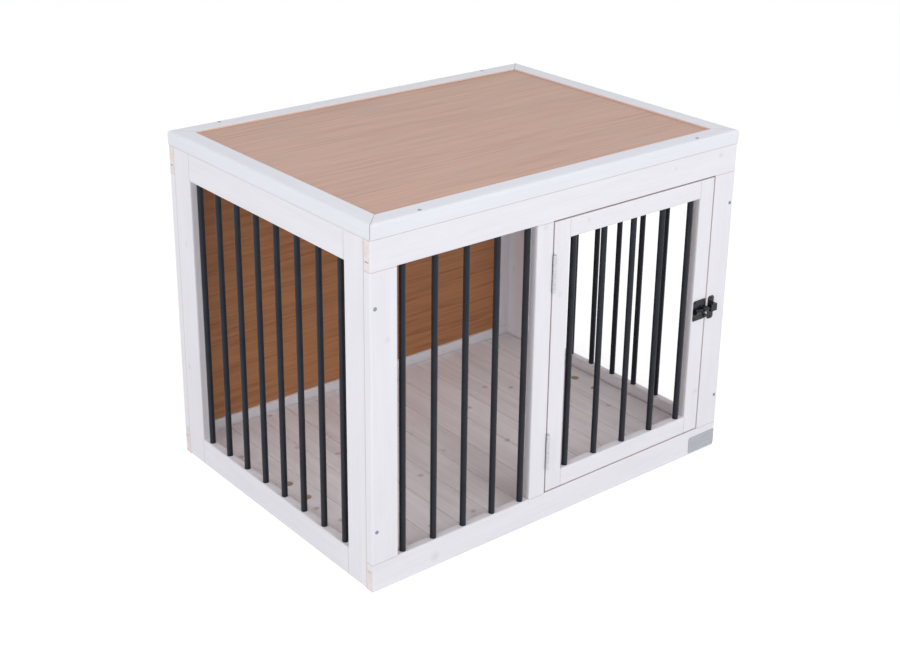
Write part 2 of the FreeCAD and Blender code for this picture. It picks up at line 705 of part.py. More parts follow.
KEEPER_RUN = (plus(DOORWAY[1], size_of("keeper_offset")),
              plus(DOORWAY[1], size_of("keeper_offset"), size_of("keeper_width")))
keeper_plate = flat_plate("KeeperPlate", KEEPER_RUN, less(BOLT_Z, size_of("keeper_drop")),
                          size_of("keeper_height"), size_of("keeper_corner"))
LOOP_OUT = times(0.5, size_of("keeper_loop_height"))
LOOP_FRONT = less(BOLT_Y, GUIDE_OUT)
loop_block = box("KeeperLoopBlock", KEEPER_RUN, (LOOP_FRONT, PLATE_FACE),
                 (less(BOLT_Z, LOOP_OUT), plus(BOLT_Z, LOOP_OUT)))
loop_room = box("KeeperLoopRoom", (less(KEEPER_RUN[0], WALL), plus(KEEPER_RUN[1], WALL)),
                (plus(LOOP_FRONT, WALL), PLATE_FACE),
                (less(BOLT_Z, less(LOOP_OUT, WALL)), plus(BOLT_Z, less(LOOP_OUT, WALL))))
keep(fuse("KeeperWhole", [keeper_plate, cut("KeeperLoop", loop_block, [loop_room])]), "bolt_keeper")

# ---------------------------------------------------------------- table top

TOP_THICK = size_of("top_thick")
TOP_RAIL = size_of("top_rail_width")
OVERHANG = size_of("top_overhang")
PANEL_TOP = less(TOP_THICK, size_of("top_panel_recess"))
PANEL_LOW = less(PANEL_TOP, size_of("top_panel_thick"))
TOP_GROOVE = size_of("top_groove_depth")


def top_rail(label, run, angle, x, y):
    """One mitred rail, made with its outer edge on its own X axis and then turned into place."""
    body = new_body(label.title().replace("_", ""))
    section = plane_sketch(body, "YZ_Plane", body.Name + "Section")
    inside = less(TOP_RAIL, TOP_GROOVE)
    polygon(section, [("0", "0"), (TOP_RAIL, "0"), (TOP_RAIL, less(PANEL_LOW, FACE_GAP)),
                      (inside, less(PANEL_LOW, FACE_GAP)), (inside, plus(PANEL_TOP, FACE_GAP)),
                      (TOP_RAIL, plus(PANEL_TOP, FACE_GAP)), (TOP_RAIL, TOP_THICK),
                      ("0", TOP_THICK)])
    solid = pad(body, section, run, midplane=True)
    depth, thick = value(TOP_RAIL), value(TOP_THICK)
    along = lambda way: abs(way.x) > 0.5
    solid = round_edges(body, solid, lambda middle, way: along(way) and near(middle.y, 0)
                        and near(middle.z, thick), size_of("top_round"))
    solid = round_edges(body, solid, lambda middle, way: along(way) and
                        ((near(middle.y, 0) and near(middle.z, 0)) or
                         (near(middle.y, depth) and near(middle.z, thick))), size_of("top_ease"))
    corners = plane_sketch(body, "XY_Plane", body.Name + "Mitres")
    end = less(times(0.5, run), size_of("mitre_line"))
    for sign in (-1, 1):
        # the cut starts a rail's width outside the corner, on the mitre's own slant
        polygon(corners, [(times(sign, plus(end, TOP_RAIL)), times(-1, TOP_RAIL)),
                          (times(sign, plus(end, TOP_RAIL)), times(2, TOP_RAIL)),
                          (times(sign, less(end, times(2, TOP_RAIL))), times(2, TOP_RAIL))])
    pocket_through(body, corners)
    body.Placement.Rotation = FreeCAD.Rotation(FreeCAD.Vector(0, 0, 1), angle)
    place(body, x, y, HEIGHT)
    keep(body, label)


TOP_LONG = plus(WIDTH, times(2, OVERHANG))
TOP_SHORT = plus(DEPTH, times(2, OVERHANG))
top_rail("top_front_rail", TOP_LONG, 0, "0", less(FRONT, OVERHANG))
top_rail("top_back_rail", TOP_LONG, 180, "0", plus(BACK, OVERHANG))
top_rail("top_left_rail", TOP_SHORT, -90, less(LEFT, OVERHANG), MIDDLE)
top_rail("top_right_rail", TOP_SHORT, 90, plus(RIGHT, OVERHANG), MIDDLE)

top_panel = new_body("TopPanel")
top_outline = plane_sketch(top_panel, "XY_Plane", "TopPanelOutline")
PANEL_INSET = less(plus(TOP_RAIL, EDGE_GAP), TOP_GROOVE, OVERHANG)
rectangle(top_outline, (plus(LEFT, PANEL_INSET), less(RIGHT, PANEL_INSET)),
          (plus(FRONT, PANEL_INSET), less(BACK, PANEL_INSET)))
pad(top_panel, top_outline, size_of("top_panel_thick"))
place(top_panel, z=plus(HEIGHT, PANEL_LOW))
keep(top_panel, "top_panel")

# ---------------------------------------------------------------- floor

FLOOR_TOP = size_of("floor_height")
BOARD = size_of("floor_thick")
FLOOR_LOW = less(FLOOR_TOP, BOARD)
FLOOR_RUN = (plus(INNER_LEFT, size_of("floor_gap")), less(INNER_RIGHT, size_of("floor_gap")))
FLOOR_DEEP = (plus(INNER_FRONT, size_of("floor_gap")), less(INNER_BACK, size_of("floor_gap")))
TONGUE = size_of("tongue_thick")
TONGUE_REACH = size_of("tongue_reach")
TONGUE_PLAY = size_of("tongue_play")
BEVEL = size_of("board_bevel")
board_count = int(value(size_of("floor_board_count")))
board_pitch = "(%s / %d)" % (less(FLOOR_RUN[1], FLOOR_RUN[0]), board_count)

finger_holes = []
for x_place, x_name in ((plus(LEFT, size_of("finger_hole_inset")), "Left"),
                        (less(RIGHT, size_of("finger_hole_inset")), "Right")):
    for sign in (-1, 1):
        y_place = plus(MIDDLE, times(0.5 * sign, size_of("finger_hole_spacing")))
        finger_holes.append(cylinder("FingerHole%s%d" % (x_name, sign + 2), "Z",
                                     (x_place, y_place, less(FLOOR_LOW, BOARD)),
                                     size_of("finger_hole_radius"), times(3, BOARD)))


def floor_board(number):
    """One tongued and grooved board, running from front to back."""
    body = new_body("FloorBoard%02d" % number)
    section = plane_sketch(body, "XZ_Plane", body.Name + "Section")
    last = number == board_count
    face = board_pitch if last else less(board_pitch, LINE)
    middle = times(0.5, BOARD)
    outline = [("0", "0"), (face, "0")]
    if not last:
        low, high = less(middle, times(0.5, TONGUE)), plus(middle, times(0.5, TONGUE))
        tip = plus(face, TONGUE_REACH)
        outline += [(face, low), (tip, low), (tip, high), (face, high)]
    outline += [(face, less(BOARD, BEVEL)), (less(face, BEVEL), BOARD), (BEVEL, BOARD),
                ("0", less(BOARD, BEVEL))]
    if number > 1:
        room = times(0.5, plus(TONGUE, TONGUE_PLAY))
        deep = plus(TONGUE_REACH, TONGUE_PLAY)
        outline += [("0", plus(middle, room)), (deep, plus(middle, room)),
                    (deep, less(middle, room)), ("0", less(middle, room))]
    polygon(section, outline)
    pad(body, section, less(FLOOR_DEEP[1], FLOOR_DEEP[0]), midplane=True)
    place(body, plus(FLOOR_RUN[0], times(number - 1, board_pitch)), MIDDLE, FLOOR_LOW)
    return body


for number in range(1, board_count + 1):
    board = floor_board(number)
    if number in (1, board_count):
        board = cut(board.Name + "Holed", board, finger_holes)
    keep(board, "floor_board_%02d" % number)

for sign, name in ((-1, "front"), (1, "back")):
    middle = plus(MIDDLE, times(0.5 * sign, size_of("batten_spacing")))
    half = times(0.5, size_of("batten_width"))
    batten = box(name + "_batten", (plus(FLOOR_RUN[0], size_of("batten_inset")),
                                    less(FLOOR_RUN[1], size_of("batten_inset"))),
                 (less(middle, half), plus(middle, half)),
                 (less(FLOOR_LOW, size_of("batten_thick")), FLOOR_LOW))
    keep(batten, "floor_%s_batten" % name)

CLEAT = size_of("cleat_size")
for name, y_span in (("front", (INNER_FRONT, plus(INNER_FRONT, CLEAT))),
                     ("back", (less(INNER_BACK, CLEAT), INNER_BACK))):
    cleat = box(name + "_cleat", (INNER_LEFT, INNER_RIGHT), y_span, (less(FLOOR_LOW, CLEAT), FLOOR_LOW))
    keep(cleat, name + "_floor_cleat")

# ---------------------------------------------------------------- checks and files

doc.recompute()
for thing in doc.Objects:
    if "Invalid" in thing.State or "Error" in thing.State:
        raise RuntimeError("%s (%s) failed to build" % (thing.Name, thing.Label))
labels = [node.Label for node in nodes]
if len(set(labels)) != len(labels):
    raise RuntimeError("two sub-parts share a name")
os.makedirs("parts", exist_ok=True)
for node in nodes:
    if node.Shape.isNull() or not node.Shape.isValid() or not node.Shape.Solids:
        raise RuntimeError("%s has no valid solid" % node.Label)
for node in nodes:
    node.Shape.exportStep("parts/%s.step" % node.Label)
print("%d sub-parts, %d solids" % (len(nodes), sum(len(node.Shape.Solids) for node in nodes)))
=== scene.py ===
"""Dog crate end table: the looks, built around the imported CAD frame.

The crate is a softwood frame under a pale glaze with a veneered table top, a plywood back, round steel bars,
a hinged door with a barrel bolt and a lift-out slatted floor. The CAD nodes keep their shapes and get their
finishes here. The wood screws, the small screws of hinges and bolt, and the bare plate are added.
"""

import math

import bmesh
import bpy
from mathutils import Matrix, Vector


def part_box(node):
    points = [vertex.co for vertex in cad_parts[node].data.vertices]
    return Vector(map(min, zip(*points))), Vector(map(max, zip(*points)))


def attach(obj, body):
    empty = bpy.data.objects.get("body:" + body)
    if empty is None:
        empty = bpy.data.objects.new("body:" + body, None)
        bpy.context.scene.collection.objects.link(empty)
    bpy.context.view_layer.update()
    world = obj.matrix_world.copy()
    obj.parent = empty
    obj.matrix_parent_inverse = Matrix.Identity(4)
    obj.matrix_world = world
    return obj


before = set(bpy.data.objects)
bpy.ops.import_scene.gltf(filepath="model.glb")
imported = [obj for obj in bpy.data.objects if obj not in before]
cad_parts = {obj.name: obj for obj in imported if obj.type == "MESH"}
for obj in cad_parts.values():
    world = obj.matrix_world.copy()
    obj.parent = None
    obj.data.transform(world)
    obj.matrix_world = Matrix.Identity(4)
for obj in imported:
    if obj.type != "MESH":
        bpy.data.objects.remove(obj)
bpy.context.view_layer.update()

bl_info = {
    "name": "Dog Crate End Table",
    "version": (1, 0, 0),
    "blender": (4, 5, 0),
    "location": "3D View > Sidebar > Dog Crate",
    "description": "Dresses the crate's CAD frame with finishes, screws, a bare plate and a studio",
    "category": "Object",
}

MM = 0.001


def linear(hex_colour):
    """Turns an sRGB hex value such as #E6E6EC to linear red, green and blue."""
    parts = (int(hex_colour[i:i + 2], 16) / 255 for i in (1, 3, 5))
    return tuple(p / 12.92 if p <= 0.04045 else ((p + 0.055) / 1.055) ** 2.4 for p in parts)


def colour(name, description, hex_colour):
    """A colour that the user can change."""
    return bpy.props.FloatVectorProperty(
        name=name, description=description, subtype="COLOR", size=3, min=0, max=1, default=linear(hex_colour))


def length(name, description, millimetres):
    """A length that the user can change, in metres."""
    return bpy.props.FloatProperty(
        name=name, description=description, subtype="DISTANCE", unit="LENGTH", min=0, precision=5,
        default=millimetres * MM)


# ---------------------------------------------------------------------------------------------------------------
# Where things are, in metres: read from the frame, then the few that its boxes don't give
# ---------------------------------------------------------------------------------------------------------------

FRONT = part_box("front_top_rail")[0].y
FRONT_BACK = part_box("front_top_rail")[1].y
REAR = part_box("back_top_rail")[1].y
REAR_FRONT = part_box("back_top_rail")[0].y
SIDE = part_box("front_top_rail")[1].x
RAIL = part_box("front_bottom_rail")[1].z
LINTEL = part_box("front_top_rail")[0].z
BODY_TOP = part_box("front_top_rail")[1].z
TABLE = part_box("top_front_rail")[1].z
TOP_LOW, TOP_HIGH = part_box("top_front_rail")[0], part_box("top_back_rail")[1]
LEFT_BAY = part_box("front_left_stile")[1].x
MIDDLE_LOW, MIDDLE_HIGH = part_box("front_middle_stile")[0].x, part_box("front_middle_stile")[1].x
DOOR_LOW, DOOR_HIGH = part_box("door_hinge_stile")[0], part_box("door_latch_stile")[1]
DOOR_RAIL_LOW, DOOR_RAIL_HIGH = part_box("door_hinge_stile")[1].x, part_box("door_latch_stile")[0].x
DOORWAY = (MIDDLE_HIGH, DOOR_HIGH.x + DOOR_LOW.x - MIDDLE_HIGH)
SIDE_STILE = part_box("left_front_stile")[1].y
SIDE_STILE_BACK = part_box("left_back_stile")[0].y

DOOR_RAIL = 38 * MM
TOP_RAIL = 38 * MM
TOP_LIP = 0.5 * MM
TOP_LIP_DEPTH = 0.8 * MM
FINGER_HOLES = [(side * 0.389, y) for side in (-1, 1) for y in (-0.0235, 0.0415)]
FINGER_HOLE_RADIUS_MM = 9.4


# ---------------------------------------------------------------------------------------------------------------
# What a user can change
# ---------------------------------------------------------------------------------------------------------------

class CrateFinish(bpy.types.PropertyGroup):
    """Colours of the crate's finishes"""

    glaze: colour("Frame glaze", "Pale glaze on the frames and the door", "#EBEAF0")
    # Painted shade: a copy of the frame glaze made a little darker and bluer, as light falls more coolly on the
    # table top.
    glaze_top_shaded: colour("Top glaze", "Glaze on the rails of the table top", "#E8EAF2")
    stain: colour("Joint line", "Bare wood that shows at joints and in gaps", "#AD8369")
    end_grain: colour("End grain", "Sawn ends of the rails under thin glaze", "#E4D3C9")
    lip: colour("Lip", "Thin glaze on the inner edge of the table top's rails", "#E6D3CB")
    veneer: colour("Veneer", "Field of the table top", "#CDA797")
    veneer_dark: colour("Veneer streaks", "Darker streaks of the table top", "#B68F7E")
    veneer_grey: colour("Veneer bloom", "Greyish patches of the table top", "#B3A39B")
    # Painted shade: this colour darkens the veneer next to the table top's rails, as if it lay in their shadow.
    veneer_edge_shade: colour("Veneer border", "Border of the table top, next to its rails", "#A8673D")
    plywood: colour("Plywood", "Back panel", "#BC8257")
    plywood_dark: colour("Plywood streaks", "Late wood of the back panel", "#9D673F")
    floor: colour("Floor boards", "White-washed floor", "#F3F0F5")
    floor_dark: colour("Floor grain", "Late wood and knots of the floor", "#A39494")
    floor_joint: colour("Floor joints", "Bare wood in the V-joints of the floor", "#9A7F72")
    batten: colour("Battens", "Planed wood under the floor", "#D2B79B")
    bar: colour("Bars", "Powder coat of the steel bars", "#1D212B")
    zinc: colour("Hinges", "Zinc plate of the hinges", "#CDCED1")
    screw: colour("Wood screws", "Bluish zinc plate of the wood screws", "#8FA2B0")
    enamel: colour("Bolt", "Black enamel of the barrel bolt", "#07080C")
    # Painted highlight: this light grey stands in for the glints on the tops of the hammered enamel.
    enamel_glint: colour("Painted enamel glint", "Painted glints on the tops of the hammered enamel", "#5E636E")
    plate: colour("Bare plate", "Brushed aluminium of the bare plate", "#AFB2B8")


class CrateFittings(bpy.types.PropertyGroup):
    """Sizes of the fittings that are added to the frame"""

    screw_head: length("Wood screw head", "Diameter of the countersunk heads", 7.6)
    screw_proud: length("Head above wood", "How far a countersunk head stands above the wood", 0.5)
    screw_inset: length("Screw inset", "From the crate's side to the screws in the front and the back", 9.5)
    screw_low: length("Lower screws", "Height of the lower screws in the front and the back", 123)
    screw_high: length("Upper screws", "Height of the upper screws in the front and the back", 552)
    top_screw_out: length("Top screws", "From the crate's middle to the screws in the table top", 340)
    top_screw_inset: length("Top screw inset", "From the table top's edge to its screws", 10)
    small_head: length("Small screw head", "Diameter of the screws in hinges, bolt and keeper", 4.0)
    leaf_thick: length("Hinge leaf", "Thickness of a hinge leaf", 0.9)
    leaf_screw_end: length("Leaf screw inset", "From a hinge leaf's end to its nearest screw", 11)
    leaf_screw_deep: length("Outer leaf screws", "From the crate's front to a leaf's outer screws", 10.5)
    leaf_screw_shallow: length("Middle leaf screw", "From the crate's front to a leaf's middle screw", 6)
    bolt_plate_thick: length("Bolt plate", "Thickness of the bolt's plate and of its keeper", 1.5)
    bolt_screw_inset: length("Bolt screw inset", "From the edge of the bolt's plate or keeper to a screw", 5)
    plate_width: length("Plate width", "Width of the bare plate", 77)
    plate_height: length("Plate height", "Height of the bare plate", 36)
    plate_thick: length("Plate thickness", "Thickness of the bare plate", 0.8)
    plate_corner: length("Plate corner", "Radius of the bare plate's corners", 3)
    plate_inset: length("Plate inset", "From the crate's side to the bare plate", 2)
    plate_lift: length("Plate lift", "From the ground to the bare plate", 5)


class CrateStudio(bpy.types.PropertyGroup):
    """Light and ground"""

    sky: bpy.props.FloatProperty(name="Room light", description="Strength of the even light all round",
                                 default=0.58, min=0, max=2)
    key: bpy.props.FloatProperty(name="Key light", description="Power of the large lamp at the front", default=40,
                                 min=0, subtype="POWER", unit="POWER")
    fill: bpy.props.FloatProperty(name="Left light", description="Power of the lamp at the left", default=32,
                                  min=0, subtype="POWER", unit="POWER")
    glow: bpy.props.FloatProperty(name="Ground glow", description="Light that only the camera sees on the ground",
                                  default=0.46, min=0, max=2)
    ground: colour("Ground", "Pale floor under the crate", "#F2F2F4")


# ---------------------------------------------------------------------------------------------------------------
# Material tools
# ---------------------------------------------------------------------------------------------------------------

def add(owner, kind, *values, output=None, **words):
    """Adds a shader node with its settings and links, and returns one of its outputs: the first that is open.

    values go to its open inputs in order. A word with a capital is an input by name, any other is a setting.
    """
    new = owner.node_tree.nodes.new("ShaderNode" + kind)
    for key, value in words.items():
        if key[0].islower():
            setattr(new, key, value)
    wanted = list(zip((s for s in new.inputs if s.enabled), values))
    wanted += [(new.inputs[key.replace("_", " ")], value) for key, value in words.items() if key[0].isupper()]
    for socket, value in wanted:
        if isinstance(value, bpy.types.NodeSocket):
            owner.node_tree.links.new(value, socket)
        elif socket.type == "RGBA":
            socket.default_value = (*value[:3], 1)
        else:
            socket.default_value = value
    return new.outputs[output] if output else next((s for s in new.outputs if s.enabled), None)


def new_material(name):
    """An empty node material and its Object coordinates, in metres."""
    material = bpy.data.materials.new(name)
    material.use_nodes = True
    material.node_tree.nodes.clear()
    return material, add(material, "TexCoord", output="Object")


def finish(material, **sockets):
    """Puts the surface shader on a material and ends it."""
    add(material, "OutputMaterial", add(material, "BsdfPrincipled", **sockets))
    return material


def scaled(tone, factor):
    """A colour with its red, green and blue multiplied."""
    return tuple(part * factor for part in tone)


def largest(owner, values):
    """The largest of several nodes' values."""
    total, *others = values
    for value in others:
        total = add(owner, "Math", total, value, operation="MAXIMUM")
    return total


def grain(material, place, axis, across, along, detail=3.0, distortion=0.0, seed=0.0):
    """Noise stretched along the wood's grain. across and along are the real sizes of a streak in millimetres."""
    scale = [1 / (across * MM)] * 3
    scale["XYZ".index(axis)] = 1 / (along * MM)
    stretched = add(material, "Mapping", Vector=place, Scale=scale)
    return add(material, "TexNoise", noise_dimensions="4D", Vector=stretched, W=seed, Scale=1.0, Detail=detail,
               Roughness=0.55, Distortion=distortion)


def boxes(material, place, spots, soft=0.3):
    """1 inside any of the boxes (low corner, high corner, in metres), 0 outside, soft millimetres between."""
    insides = []
    for low, high in spots:
        middle = [(a + b) / 2 for a, b in zip(low, high)]
        half = [(b - a) / 2 for a, b in zip(low, high)]
        away = add(material, "VectorMath", place, middle, operation="SUBTRACT")
        away = add(material, "VectorMath", away, operation="ABSOLUTE")
        away = add(material, "VectorMath", away, half, operation="SUBTRACT")
        past = largest(material, add(material, "SeparateXYZ", away).node.outputs)
        insides.append(add(material, "MapRange", past, 0.0, soft * MM, 1.0, 0.0))
    return largest(material, insides)


def knots(material, place, face, spacing, radius):
    """Round knots, as seen on the broad face of a board whose thickness runs along face.

    Returns 1 in a knot's heart, falling to 0 at its edge. spacing and radius are in millimetres.
    """
    reach = radius / spacing
    split = add(material, "SeparateXYZ", place).node
    plane = add(material, "CombineXYZ", *(split.outputs[i] for i in range(3) if "XYZ"[i] != face))
    cells = add(material, "TexVoronoi", voronoi_dimensions="2D", Vector=plane, Scale=1 / (spacing * MM),
                Randomness=1.0).node
    # The edge of a knot wavers, and only some of the cells have one.
    wobble = add(material, "TexNoise", Vector=place, Scale=90.0, Detail=2.0)
    wobble = add(material, "Math", wobble, 0.5, operation="SUBTRACT")
    wobble = add(material, "Math", wobble, reach, operation="MULTIPLY")
    away = add(material, "Math", cells.outputs["Distance"], wobble, operation="ADD")
    heart = add(material, "MapRange", away, reach * 0.35, reach, 1.0, 0.0)
    chance = add(material, "SeparateColor", cells.outputs["Color"])
    return add(material, "Math", heart, add(material, "MapRange", chance, 0.35, 0.6), operation="MULTIPLY")


def dress(nodes, material):
    """Gives CAD nodes a finish."""
    for name in nodes:
        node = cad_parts[name]
        if not node.material_slots:
            node.data.materials.append(None)
        for slot in node.material_slots:
            slot.material = material


# ---------------------------------------------------------------------------------------------------------------
# Finishes
# ---------------------------------------------------------------------------------------------------------------

def span(x=(-9, 9), y=(-9, 9), z=(-9, 9)):
    """A box in metres, open where no range is given."""
    return tuple(zip(x, y, z))


def around(value, half):
    """A range of half millimetres each side of a value in metres."""
    return value - half * MM, value + half * MM


def shoulder_spots():
    """Thin tan lines where a stile's shoulder meets a rail, and where two frames meet at a corner."""
    stiles = [(-SIDE - MM, LEFT_BAY), (MIDDLE_LOW, MIDDLE_HIGH), (DOORWAY[1], SIDE + MM)]
    spots = [span(x=x, y=(FRONT - MM, FRONT_BACK), z=around(z, 0.45)) for x in stiles for z in (RAIL, LINTEL)]
    spots += [span(x=x, y=(REAR_FRONT, REAR + MM), z=around(z, 0.45)) for x in (stiles[0], (-LEFT_BAY, SIDE + MM))
              for z in (RAIL, LINTEL)]
    spots.append(span(z=(BODY_TOP - 0.8 * MM, BODY_TOP + MM)))
    return spots + [span(x=around(side * SIDE, 0.6), y=around(y, 0.6), z=(-MM, BODY_TOP))
                    for side in (-1, 1) for y in (FRONT_BACK, REAR_FRONT)]


def gap_spots():
    """Bare wood on both faces of the gap round the door."""
    behind = (FRONT + 1.2 * MM, FRONT_BACK)
    spots = [span(x=around(x, 0.4), y=behind, z=(RAIL, LINTEL)) for x in (DOOR_LOW.x, DOOR_HIGH.x, *DOORWAY)]
    return spots + [span(x=DOORWAY, y=behind, z=around(z, 0.4)) for z in (RAIL, LINTEL, DOOR_LOW.z, DOOR_HIGH.z)]


def sawn_end_spots():
    """The rails' sawn ends at the crate's sides."""
    return [span(x=x, y=y, z=z)
            for x in ((-SIDE - MM, -SIDE + 0.5 * MM), (SIDE - 0.5 * MM, SIDE + MM))
            for y in ((FRONT - MM, FRONT_BACK), (REAR_FRONT, REAR + MM))
            for z in ((-MM, RAIL), (LINTEL, BODY_TOP))]


# Knots that show through the glaze on the front: middle along the crate, height, radius, all in millimetres.
FRONT_KNOTS = ((403, 659, 6), (276, 657, 4), (48, 602, 4.5), (-309, 22, 9))


def front_knots(material, place, rings):
    """Soft round marks of the front's knots, 1 in the middle of a knot."""
    spots = []
    for x, z, radius in FRONT_KNOTS:
        away = add(material, "VectorMath", place, (x * MM, FRONT, z * MM), operation="SUBTRACT")
        away = add(material, "VectorMath", away, operation="LENGTH")
        ripple = add(material, "Math", rings, 2 * MM, operation="MULTIPLY")
        away = add(material, "Math", away, ripple, operation="ADD")
        spots.append(add(material, "MapRange", away, radius * 0.4 * MM, radius * 1.5 * MM, 1.0, 0.0))
    return largest(material, spots)


# The streaks of the grain, as a share of the glaze's red, green and blue.
GLAZE_STREAK = (0.945, 0.94, 0.94)


def glazed_softwood(name, base, axis, face, lines=(), lips=()):
    """Pine or fir, planed and brushed with a thin white glaze: satin, with the grain only just showing through."""
    look = bpy.context.scene.crate_finish
    material, place = new_material(name)
    # Growth rings show as streaks about 3 mm wide, and the glaze lies thicker and thinner over 25 mm.
    rings = grain(material, place, axis, 3.2, 190, detail=3, distortion=0.4)
    cloud = grain(material, place, axis, 24, 150, detail=3, seed=4.0)
    streaks = add(material, "Math", add(material, "MapRange", rings, 0.42, 0.72, 0, 0.5),
                  add(material, "MapRange", cloud, 0.38, 0.66, 0, 0.5), operation="ADD")
    tone = add(material, "Mix", streaks, base, [c * f for c, f in zip(base, GLAZE_STREAK)], data_type="RGBA")
    knot = add(material, "Math", knots(material, place, face, 190, 8), 0.22, operation="MULTIPLY")
    if face == "Y":
        front = add(material, "Math", front_knots(material, place, rings), 0.3, operation="MULTIPLY")
        knot = largest(material, (knot, front))
    tone = add(material, "Mix", knot, tone, scaled(base, 0.6), data_type="RGBA")
    if face != "Z":
        # The rails' sawn ends drink the glaze in, so the wood shows peach through it in patches.
        patch = add(material, "TexNoise", Vector=place, Scale=1 / (14 * MM), Detail=4.0)
        ends = add(material, "Math", boxes(material, place, sawn_end_spots(), soft=0.4),
                   add(material, "MapRange", patch, 0.4, 0.62, 0.2, 0.85), operation="MULTIPLY")
        tone = add(material, "Mix", ends, tone, look.end_grain, data_type="RGBA")
        for spots in (shoulder_spots() + list(lines), gap_spots()):
            bare = add(material, "Math", boxes(material, place, spots), 0.4, operation="MULTIPLY")
            tone = add(material, "Mix", bare, tone, look.stain, data_type="RGBA")
    else:
        tone = add(material, "Mix", boxes(material, place, lips), tone, look.lip, data_type="RGBA")
        # Bare wood shows as a hairline along the mitres, where both edges of the table top are as far away.
        x, y, _ = add(material, "SeparateXYZ", place).node.outputs
        middle = (TOP_LOW.y + TOP_HIGH.y) / 2
        x = add(material, "Math", x, operation="ABSOLUTE")
        y = add(material, "Math", add(material, "Math", y, middle, operation="SUBTRACT"), operation="ABSOLUTE")
        from_side = add(material, "Math", TOP_HIGH.x, x, operation="SUBTRACT")
        from_end = add(material, "Math", TOP_HIGH.y - middle, y, operation="SUBTRACT")
        away = add(material, "Math", from_side, from_end, operation="SUBTRACT")
        away = add(material, "Math", away, operation="ABSOLUTE")
        tone = add(material, "Mix", add(material, "MapRange", away, 0.5 * MM, 1.0 * MM, 0.55, 0.0), tone,
                   look.stain, data_type="RGBA")
    relief = add(material, "Bump", Strength=0.25, Distance=0.1 * MM, Height=rings)
    return finish(material, Base_Color=tone, Roughness=add(material, "MapRange", rings, 0.3, 0.7, 0.42, 0.56),
                  Normal=relief, IOR=1.48)


class CRATE_OT_frames(bpy.types.Operator):
    """Glaze the frames, the door and the rails of the table top"""

    bl_idname = "crate.frames"
    bl_label = "Glazed frames"

    def execute(self, context):
        look = context.scene.crate_finish
        rails = ["front_top_rail", "front_bottom_rail", "back_top_rail", "back_bottom_rail", "door_top_rail",
                 "door_bottom_rail"]
        stiles = ["front_left_stile", "front_middle_stile", "front_right_stile", "back_left_stile",
                  "back_right_stile", "door_hinge_stile", "door_latch_stile"]
        side_rails = [f"{side}_{part}_rail" for part in ("top", "bottom") for side in ("left", "right")]
        side_stiles = [f"{side}_{part}_stile" for part in ("front", "back") for side in ("left", "right")]
        door_lines = [span(x=around(x, 0.5), y=(FRONT - MM, FRONT_BACK + MM), z=z)
                      for x in (DOOR_RAIL_LOW, DOOR_RAIL_HIGH)
                      for z in ((DOOR_LOW.z, DOOR_LOW.z + DOOR_RAIL), (DOOR_HIGH.z - DOOR_RAIL, DOOR_HIGH.z))]
        side_lines = [span(y=around(y, 0.5), z=z) for y in (SIDE_STILE, SIDE_STILE_BACK)
                      for z in ((-MM, RAIL), (LINTEL, BODY_TOP))]
        rim = TOP_RAIL - TOP_LIP
        lips = [span(x=(TOP_LOW.x + rim, TOP_HIGH.x - rim), y=(TOP_LOW.y + rim, TOP_HIGH.y - rim),
                     z=(0, TABLE - TOP_LIP_DEPTH))]
        dress(rails, glazed_softwood("glazed softwood, grain along the crate", look.glaze, "X", "Y"))
        dress(stiles, glazed_softwood("glazed softwood, grain upright", look.glaze, "Z", "Y", door_lines))
        dress(side_stiles,
              glazed_softwood("glazed softwood of the sides, grain upright", look.glaze, "Z", "X", side_lines))
        dress(side_rails,
              glazed_softwood("glazed softwood of the sides, grain level", look.glaze, "Y", "X", side_lines))
        # The table top's rails take the darker, bluer copy of the glaze, which is painted shade.
        dress(["top_front_rail", "top_back_rail"],
              glazed_softwood("glazed softwood of the table top, long rails", look.glaze_top_shaded, "X", "Z", lips=lips))
        dress(["top_left_rail", "top_right_rail"],
              glazed_softwood("glazed softwood of the table top, short rails", look.glaze_top_shaded, "Y", "Z", lips=lips))
        return {"FINISHED"}


class CRATE_OT_table_top(bpy.types.Operator):
    """Veneer the field of the table top"""

    bl_idname = "crate.table_top"
    bl_label = "Veneered top"

    def execute(self, context):
        look = context.scene.crate_finish
        # Sliced veneer, sealed matt: long streaks, short dark pores, and painted shade along the rails.
        material, place = new_material("sliced wood veneer, sealed matt")
        streak = grain(material, place, "X", 5, 260, detail=4, distortion=0.5)
        broad = grain(material, place, "X", 34, 260, detail=3, seed=3.0, distortion=0.9)
        bloom = grain(material, place, "X", 26, 170, detail=2, seed=11.0, distortion=0.5)
        pores = grain(material, place, "X", 1.6, 14, detail=1, seed=8.0)
        tone = look.veneer
        for pattern, start, end, strength, shade in ((streak, 0.36, 0.68, 1.0, look.veneer_dark),
                                                     (broad, 0.4, 0.62, 0.5, look.veneer),
                                                     (bloom, 0.56, 0.7, 0.55, look.veneer_grey),
                                                     (pores, 0.6, 0.75, 0.25, look.veneer_dark)):
            share = add(material, "MapRange", pattern, start, end, 0, strength)
            tone = add(material, "Mix", share, tone, shade, data_type="RGBA")
        # Painted shade: the veneer darkens over the last 14 mm or more next to the rails, where their lips shade
        # it, and again in its last 2 mm, a painted shadow of the gap.
        for inset, soft, strength in ((14, 30, 0.22), (1.6, 1.6, 0.6)):
            rim = TOP_RAIL + inset * MM
            field = boxes(material, place, [span(x=(TOP_LOW.x + rim, TOP_HIGH.x - rim),
                                                 y=(TOP_LOW.y + rim, TOP_HIGH.y - rim))], soft=soft)
            shaded_border = add(material, "MapRange", field, 1.0, 0.0, 0.0, strength)
            tone = add(material, "Mix", shaded_border, tone, look.veneer_edge_shade, data_type="RGBA")
        relief = add(material, "Bump", Strength=0.2, Distance=0.06 * MM, Height=pores)
        dress(["top_panel"], finish(material, Base_Color=tone, Roughness=0.5, Normal=relief, IOR=1.48))
        return {"FINISHED"}


